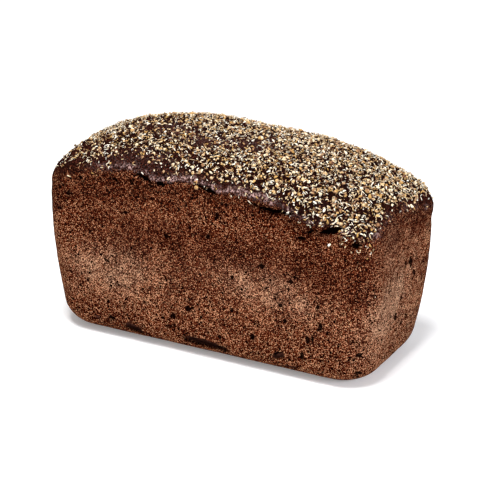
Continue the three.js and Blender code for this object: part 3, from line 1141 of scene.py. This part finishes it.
def splinter(rng, reach, wide):
    """A thin bent stick, three-sided, pointed at both ends."""
    points, faces = [], []
    bend = rng.uniform(-0.25, 0.25) * reach
    for k, size in enumerate((0.5, 1.0, 0.6)):
        at = (k - 1) * 0.6
        for side in range(3):
            turn = 2 * math.pi * side / 3 + rng.uniform(-0.4, 0.4)
            points.append((at * reach, bend * (1 - at**2) + wide * size * math.cos(turn) / 2,
                           wide * size * math.sin(turn) / 2))
    points += [(-reach, 0, 0), (reach, 0, 0)]
    for side in range(3):
        after = (side + 1) % 3
        for k in range(2):
            faces.append((3 * k + after, 3 * k + side, 3 * k + 3 + side, 3 * k + 3 + after))
        faces.append((side, after, 9))
        faces.append((6 + after, 6 + side, 10))
    return points, faces, [float(rng.random() < 0.5)] * 11


def crumb(rng, size):
    """An irregular ground bit of eight to ten facets."""
    points = [(1, 0, 0), (0, 1, 0), (-1, 0, 0), (0, -1, 0), (0, 0, 0.7), (0, 0, -0.6)]
    points = [tuple(size * c * rng.uniform(0.6, 1.25) + size * rng.uniform(-0.18, 0.18)
                    for c in point) for point in points]
    faces = [(k, (k + 1) % 4, 4) for k in range(4)] + [((k + 1) % 4, k, 5) for k in range(4)]
    return points, faces, [float(rng.random() < 0.4)] * 6


def make_bits(kind, seed):
    """A hidden collection of differing small shapes of one kind."""
    rng = np.random.default_rng(seed)
    pick = rng.uniform
    many, make = {
        "shells": (9, lambda: husk_shell(rng, pick(1.1, 1.8), pick(1.2, 2.0), pick(0.6, 1.15),
                                         pick(0.3, 0.9), 3, 2, 0.2)),
        "curls": (8, lambda: husk_shell(rng, pick(0.85, 1.35), pick(2.2, 4.4), pick(0.38, 0.62),
                                        pick(0.5, 0.95), 7, 1, 0.15)),
        "kernels": (4, lambda: seed_half(rng, pick(0.9, 1.3), pick(0.7, 1.1))),
        "splinters": (6, lambda: splinter(rng, pick(0.8, 1.5), pick(0.35, 0.55))),
        "crumbs": (8, lambda: crumb(rng, pick(0.4, 0.75))),
    }[kind]
    folder = bpy.data.collections.new(kind)
    for turn in range(many):
        bit_object(f"{kind} {turn}", *make(), folder)
    return folder


def scatter_tree():
    """Geometry nodes that strew bits over a surface by its cover mask."""
    name = "Strew bits"
    if name in bpy.data.node_groups:
        return bpy.data.node_groups[name]
    tree = bpy.data.node_groups.new(name, "GeometryNodeTree")
    kinds = {"Geometry": "Geometry", "Seed": "Int", "Bits": "Collection", "Finish": "Material"}
    for label in (*kinds, "Density", "Smallest", "Largest", "Tilt", "Lift", "Darkest", "Palest"):
        tree.interface.new_socket(name=label, in_out="INPUT",
                                  socket_type="NodeSocket" + kinds.get(label, "Float"))
    tree.interface.new_socket(name="Geometry", in_out="OUTPUT", socket_type="NodeSocketGeometry")
    given = values(tree, tree.nodes.new("NodeGroupInput").outputs)

    def chance(low, high, draw, kind="FLOAT"):
        """A random number for each bit; each use has its own number of draw."""
        made = add_node(tree, "FunctionNodeRandomValue", data_type=kind)
        enabled = [socket for socket in made.inputs if socket.enabled]
        for socket, value in zip(enabled, (low, high)):
            put(tree, socket, value)
        seed = add_node(tree, "FunctionNodeIntegerMath", {0: given["Seed"], 1: draw},
                        operation="ADD")
        fill(tree, made, {"Seed": seed.outputs[0]})
        return Value(tree, next(socket for socket in made.outputs if socket.enabled))

    def geometry_node(kind, inputs, **settings):
        return add_node(tree, "GeometryNode" + kind, inputs, **settings).outputs

    def turned(bits, turn):
        """Turns each bit about its own axes by a turn for each axis named."""
        turn = add_node(tree, "ShaderNodeCombineXYZ", turn)
        return geometry_node("RotateInstances", {"Instances": bits, "Rotation": turn.outputs[0]})[0]

    cover = geometry_node("InputNamedAttribute", {"Name": "cover"}, data_type="FLOAT")
    points = geometry_node("DistributePointsOnFaces", {
        "Mesh": given["Geometry"], "Density": given["Density"] * cover["Attribute"],
        "Seed": given["Seed"]}, distribute_method="RANDOM")
    lift = add_node(tree, "ShaderNodeVectorMath", {
        0: points["Normal"], "Scale": given["Lift"] * chance(-0.25, 1.0, 1)}, operation="SCALE")
    raised = geometry_node("SetPosition", {
        "Geometry": points["Points"], "Offset": lift.outputs[0]})
    shapes = geometry_node("CollectionInfo", {
        "Collection": given["Bits"], "Separate Children": True, "Reset Children": True})
    bits = geometry_node("InstanceOnPoints", {
        "Points": raised[0], "Instance": shapes[0], "Pick Instance": True,
        "Instance Index": chance(0, 997, 2, "INT"), "Rotation": points["Rotation"],
        "Scale": chance(given["Smallest"], given["Largest"], 3)})[0]
    bits = turned(bits, {"Z": chance(0.0, 2 * math.pi, 4)})
    bits = turned(bits, {axis: given["Tilt"] * (chance(0.0, 1.0, draw) - chance(0.0, 1.0, draw + 3))
                         for axis, draw in (("X", 5), ("Y", 6))})
    bits = geometry_node("StoreNamedAttribute", {
        "Geometry": bits, "Name": "tone", "Value": chance(given["Darkest"], given["Palest"], 7),
    }, data_type="FLOAT", domain="INSTANCE")[0]
    bits = geometry_node("RealizeInstances", {0: bits})[0]
    bits = geometry_node("SetMaterial", {"Geometry": bits, "Material": given["Finish"]})[0]
    fill(tree, tree.nodes.new("NodeGroupOutput"), {"Geometry": bits})
    return tree


def strew(scene, kind):
    """Strews one kind of bit over the loaf and keeps the result as a plain mesh."""
    topping = scene.loaf_topping
    seed = topping.seed + list(BIT_LIE).index(kind)
    name = "coriander_" + kind
    bits = make_bits(kind, seed)
    ground = bpy.data.objects["loaf_body"].data.copy()
    piece = new_object(name, ground)
    modifier = piece.modifiers.new("strew", "NODES")
    modifier.node_group = scatter_tree()
    sockets = {item.name: item.identifier for item in modifier.node_group.interface.items_tree
               if item.in_out == "INPUT"}
    settings = {"Bits": bits, "Seed": seed, "Density": getattr(topping, kind) * PER_CM2,
                "Finish": bpy.data.materials.get(HUSK) or husk_material(), **BIT_LIE[kind]}
    for label, value in settings.items():
        modifier[sockets[label]] = value
    bpy.context.view_layer.update()
    strewn = bpy.data.meshes.new_from_object(
        piece.evaluated_get(bpy.context.evaluated_depsgraph_get()))
    piece.modifiers.remove(modifier)
    piece.data = strewn
    strewn.name = name
    for mesh in [ground, *(bit.data for bit in bits.objects)]:
        bpy.data.meshes.remove(mesh)
    bpy.data.collections.remove(bits)
    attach(piece, "root")


# ---------------------------------------------------------------- operators


def build_body(shape, finish):
    """The loaf as one closed mesh, with a fan of triangles for its floor."""
    points, quads, masks = shape_loaf(shape)
    middle = len(points)
    points = np.vstack([points, [-LoafForm.lean, 0, 0]])
    floor = [(middle, (k + 1) % AROUND, k) for k in range(AROUND)]
    mesh = bpy.data.meshes.new("loaf_body")
    mesh.from_pydata((points * MM).tolist(), [], quads.tolist() + floor)
    mesh.update()
    for name, mask in masks.items():
        store(mesh, name, np.append(mask, 0))
    mesh.polygons.foreach_set("use_smooth", np.ones(len(mesh.polygons), bool))
    mesh.update()
    mesh.materials.append(crust_material(finish))
    return new_object("loaf_body", mesh)


class TINLOAF_OT_body(bpy.types.Operator):
    """Shapes the baked loaf and replaces the plain solid"""

    bl_idname = "tinloaf.body"
    bl_label = "Loaf body"

    def execute(self, context):
        body = build_body(context.scene.loaf_shape, context.scene.crust_finish)
        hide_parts("loaf")
        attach(body, "root")
        return {"FINISHED"}


class TINLOAF_OT_husks(bpy.types.Operator):
    """Strews broken coriander husks: curved flakes and ring-shaped curls"""

    bl_idname = "tinloaf.husks"
    bl_label = "Coriander husks"

    def execute(self, context):
        for kind in ("shells", "curls"):
            strew(context.scene, kind)
        return {"FINISHED"}


class TINLOAF_OT_seeds(bpy.types.Operator):
    """Strews split seeds, splinters and ground crumbs of coriander"""

    bl_idname = "tinloaf.seeds"
    bl_label = "Coriander seeds and crumbs"

    def execute(self, context):
        for kind in ("kernels", "splinters", "crumbs"):
            strew(context.scene, kind)
        return {"FINISHED"}


class TINLOAF_OT_stage(bpy.types.Operator):
    """Lays the floor and sets the lights and the camera"""

    bl_idname = "tinloaf.stage"
    bl_label = "Stage"

    def execute(self, context):
        stage = context.scene.loaf_stage
        half = stage.floor_size / 2
        mesh = bpy.data.meshes.new("floor")
        mesh.from_pydata([(-half, -half, 0), (half, -half, 0), (half, half, 0), (-half, half, 0)],
                         [], [(0, 1, 2, 3)])
        material, tree, shader, _ = new_material("plain floor")
        fill(tree, shader, {
            "Base Color": stage.floor_tint, "Roughness": 0.9, "Specular IOR Level": 0.1,
            "Emission Color": (1, 1, 1), "Emission Strength": stage.floor_glow})
        mesh.materials.append(material)
        new_object("floor", mesh)

        world = bpy.data.worlds.new("soft white room")
        world.use_nodes = True
        room = world.node_tree
        fill(room, room.nodes["Background"], {"Color": (1, 1, 1), "Strength": stage.sky})
        context.scene.world = world

        add_light("overhead light", OVERHEAD_LAMP, stage.top_light, (1, 1, 1))
        add_light("side light", SIDE_LAMP, stage.side_light, stage.side_tint)

        context.scene.view_settings.view_transform = "Standard"
        add_camera(context.scene, stage)
        return {"FINISHED"}


def add_light(name, place, power, tint):
    """A round lamp turned to the middle of the loaf."""
    light = bpy.data.lights.new(name, "AREA")
    light.shape = "DISK"
    light.size = LAMP_SIZE
    light.energy = power
    light.color = tint
    lamp = new_object(name, light)
    place = Vector(place)
    aim = Vector(LAMP_AIM) - place
    lamp.matrix_world = Matrix.Translation(place) @ aim.to_track_quat("-Z", "Y").to_matrix().to_4x4()


def add_camera(scene, stage):
    """A long lens that looks a little above the middle of the loaf."""
    turn, rise = stage.azimuth, stage.elevation
    back = Vector((math.sin(turn) * math.cos(rise), -math.cos(turn) * math.cos(rise),
                   math.sin(rise)))
    right = Vector((math.cos(turn), math.sin(turn), 0))
    up = back.cross(right)
    middle = Vector((-LoafForm.lean, 0, 55)) * MM
    aim = middle + right * 1.5 * MM + up * 3.7 * MM
    data = bpy.data.cameras.new("camera")
    data.lens = stage.lens
    data.sensor_width = 36
    camera = new_object("camera", data)
    turned = Matrix((right, up, back)).transposed().to_4x4()
    camera.matrix_world = Matrix.Translation(aim + back * stage.distance) @ turned
    scene.camera = camera


class TINLOAF_PT_panel(bpy.types.Panel):
    """Lists the steps that build the loaf"""

    bl_label = "Tin Loaf"
    bl_idname = "TINLOAF_PT_panel"
    bl_space_type = "VIEW_3D"
    bl_region_type = "UI"
    bl_category = "Tin Loaf"

    def draw(self, context):
        for settings, operators in (("loaf_shape", (TINLOAF_OT_body,)), ("crust_finish", ()),
                                    ("loaf_topping", (TINLOAF_OT_husks, TINLOAF_OT_seeds)),
                                    ("loaf_stage", (TINLOAF_OT_stage,))):
            box = self.layout.box()
            for operator in operators:
                box.operator(operator.bl_idname)
            group = getattr(context.scene, settings)
            for name in group.__annotations__:
                box.prop(group, name)


GROUPS = {"loaf_shape": LoafShape, "crust_finish": CrustFinish, "loaf_topping": Topping,
          "loaf_stage": StageSettings}
CLASSES = (*GROUPS.values(), TINLOAF_OT_body, TINLOAF_OT_husks, TINLOAF_OT_seeds,
           TINLOAF_OT_stage, TINLOAF_PT_panel)


def register():
    for cls in CLASSES:
        bpy.utils.register_class(cls)
    for name, group in GROUPS.items():
        setattr(bpy.types.Scene, name, bpy.props.PointerProperty(type=group))


def unregister():
    for name in GROUPS:
        delattr(bpy.types.Scene, name)
    for cls in reversed(CLASSES):
        bpy.utils.unregister_class(cls)


def main():
    register()
    bpy.ops.tinloaf.body()
    bpy.ops.tinloaf.husks()
    bpy.ops.tinloaf.seeds()
    bpy.ops.tinloaf.stage()


if __name__ == "__main__":
    main()
